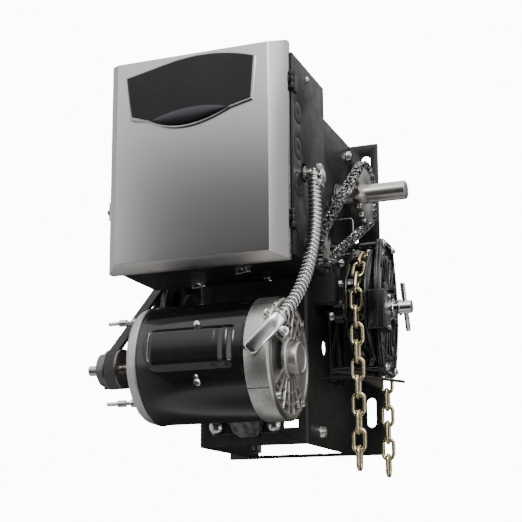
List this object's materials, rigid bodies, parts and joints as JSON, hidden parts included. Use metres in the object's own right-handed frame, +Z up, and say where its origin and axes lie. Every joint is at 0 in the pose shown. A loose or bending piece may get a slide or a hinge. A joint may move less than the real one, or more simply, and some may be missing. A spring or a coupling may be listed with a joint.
{
  "type": "industrial door operator",
  "caption": "Wall-hung jackshaft door operator: motor, belt and clutch, roller chains, output shaft, chain hoist and hinged control box.",
  "frame": {"origin": "on the wall plane at the centre of the four mounting slots", "axes": "+Z up, +Y into the wall, +X to the right as seen from the front, along the output shaft to its free end"},
  "size_m": [0.3605, 0.3709, 0.4943],
  "materials": {
    "black_coat": "satin black powder coat",
    "gloss_black": "gloss black paint",
    "brushed_silver": "brushed",
    "badge_black": "gloss black",
    "cast_alu": "rough cast",
    "zinc": "bright zinc",
    "gold_zinc": "yellow zinc on steel",
    "shaft_steel": "turned",
    "dark_steel": "oiled",
    "pale_steel": "zinc plated",
    "cast_black": "black paint",
    "grey_iron": "machined",
    "belt_rubber": "matte",
    "black_plastic": "matte black",
    "white_nylon": "satin",
    "board_green": "satin",
    "friction": "matte"
  },
  "bodies": {
    "operator": {"frame_channel": "black_coat", "tie_plate": "black_coat", "ground_lug": "pale_steel", "frame_bolts": "zinc", "control_box": "black_coat", "box_screws": "zinc", "box_hinges": "black_coat", "sub_panel": "pale_steel", "logic_board": "board_green", "transformer": "dark_steel", "contactor": "black_plastic", "terminal_strip": "black_plastic", "limit_bracket": "pale_steel", "limit_switches": "black_plastic", "nut_retainer": "pale_steel", "motor_shell": "gloss_black", "bell_right": "cast_alu", "bell_left": "cast_alu", "bearing_cap": "cast_alu", "through_bolts": "zinc", "stator": "grey_iron", "capacitor_cover": "gloss_black", "run_capacitor": "cast_alu", "motor_base": "gloss_black", "carriage_bolts": "zinc", "conduit": "zinc", "box_connector": "zinc", "motor_connector": "zinc", "v_belt": "belt_rubber", "shaft_bearings": "grey_iron", "drive_chain": "dark_steel", "limit_chain": "dark_steel", "hoist_bracket": "cast_black", "chain_guard": "cast_black", "chain_guide": "dark_steel", "hand_chain": "gold_zinc", "interlock_switch": "black_plastic", "release_rod": "zinc"},
    "output_shaft_group": {"output_shaft": "shaft_steel", "output_sprocket": "dark_steel", "limit_sprocket": "pale_steel"},
    "clutch_shaft_group": {"clutch_shaft": "shaft_steel", "drive_pulley": "grey_iron", "clutch_plates": "friction", "clutch_spring": "pale_steel", "clutch_nut": "pale_steel", "drive_sprocket": "dark_steel", "t_bar": "pale_steel"},
    "hand_wheel": {"pocket_wheel": "cast_black"},
    "motor_rotor": {"motor_shaft": "shaft_steel", "rotor_core": "grey_iron", "motor_fan": "black_plastic", "motor_pulley": "dark_steel"},
    "limit_shaft_group": {"limit_shaft": "shaft_steel"},
    "close_limit_nut": {"close_nut": "white_nylon"},
    "open_limit_nut": {"open_nut": "white_nylon"},
    "box_cover": {"cover": "brushed_silver", "cover_hinges": "black_coat", "badge": "badge_black", "cover_catch": "zinc"}
  },
  "joints": [
    {"name": "output_turn", "type": "hinge", "parent": "operator", "child": "output_shaft_group", "pos_m": [0, -0.0707, 0.1158], "axis": [1, 0, 0], "continuous": true, "deforming": ["drive_chain", "limit_chain"]},
    {"name": "clutch_turn", "type": "hinge", "parent": "operator", "child": "clutch_shaft_group", "pos_m": [0, -0.09661, -0.04967], "axis": [1, 0, 0], "continuous": true},
    {"name": "hand_wheel_turn", "type": "hinge", "parent": "operator", "child": "hand_wheel", "pos_m": [0, -0.09661, -0.04967], "axis": [1, 0, 0], "continuous": true, "deforming": ["hand_chain"]},
    {"name": "motor_turn", "type": "hinge", "parent": "operator", "child": "motor_rotor", "pos_m": [0, -0.288, -0.1401], "axis": [1, 0, 0], "continuous": true},
    {"name": "limit_turn", "type": "hinge", "parent": "operator", "child": "limit_shaft_group", "pos_m": [0, -0.25968, -0.00506], "axis": [1, 0, 0], "continuous": true},
    {"name": "close_nut_slide", "type": "slide", "parent": "operator", "child": "close_limit_nut", "axis": [1, 0, 0], "range_m": [-0.02, 0.014]},
    {"name": "open_nut_slide", "type": "slide", "parent": "operator", "child": "open_limit_nut", "axis": [1, 0, 0], "range_m": [-0.014, 0.012]},
    {"name": "cover_hinge", "type": "hinge", "parent": "operator", "child": "box_cover", "pos_m": [0.0989, -0.3314, 0], "axis": [0, 0, 1], "range_deg": [0, 110]}
  ],
  "couplings": [
    {"joint": "clutch_turn", "follows": "output_turn", "ratio": 2.8},
    {"joint": "hand_wheel_turn", "follows": "output_turn", "ratio": 2.8},
    {"joint": "motor_turn", "follows": "output_turn", "ratio": 10.139},
    {"joint": "limit_turn", "follows": "output_turn", "ratio": 2.2222}
  ]
}
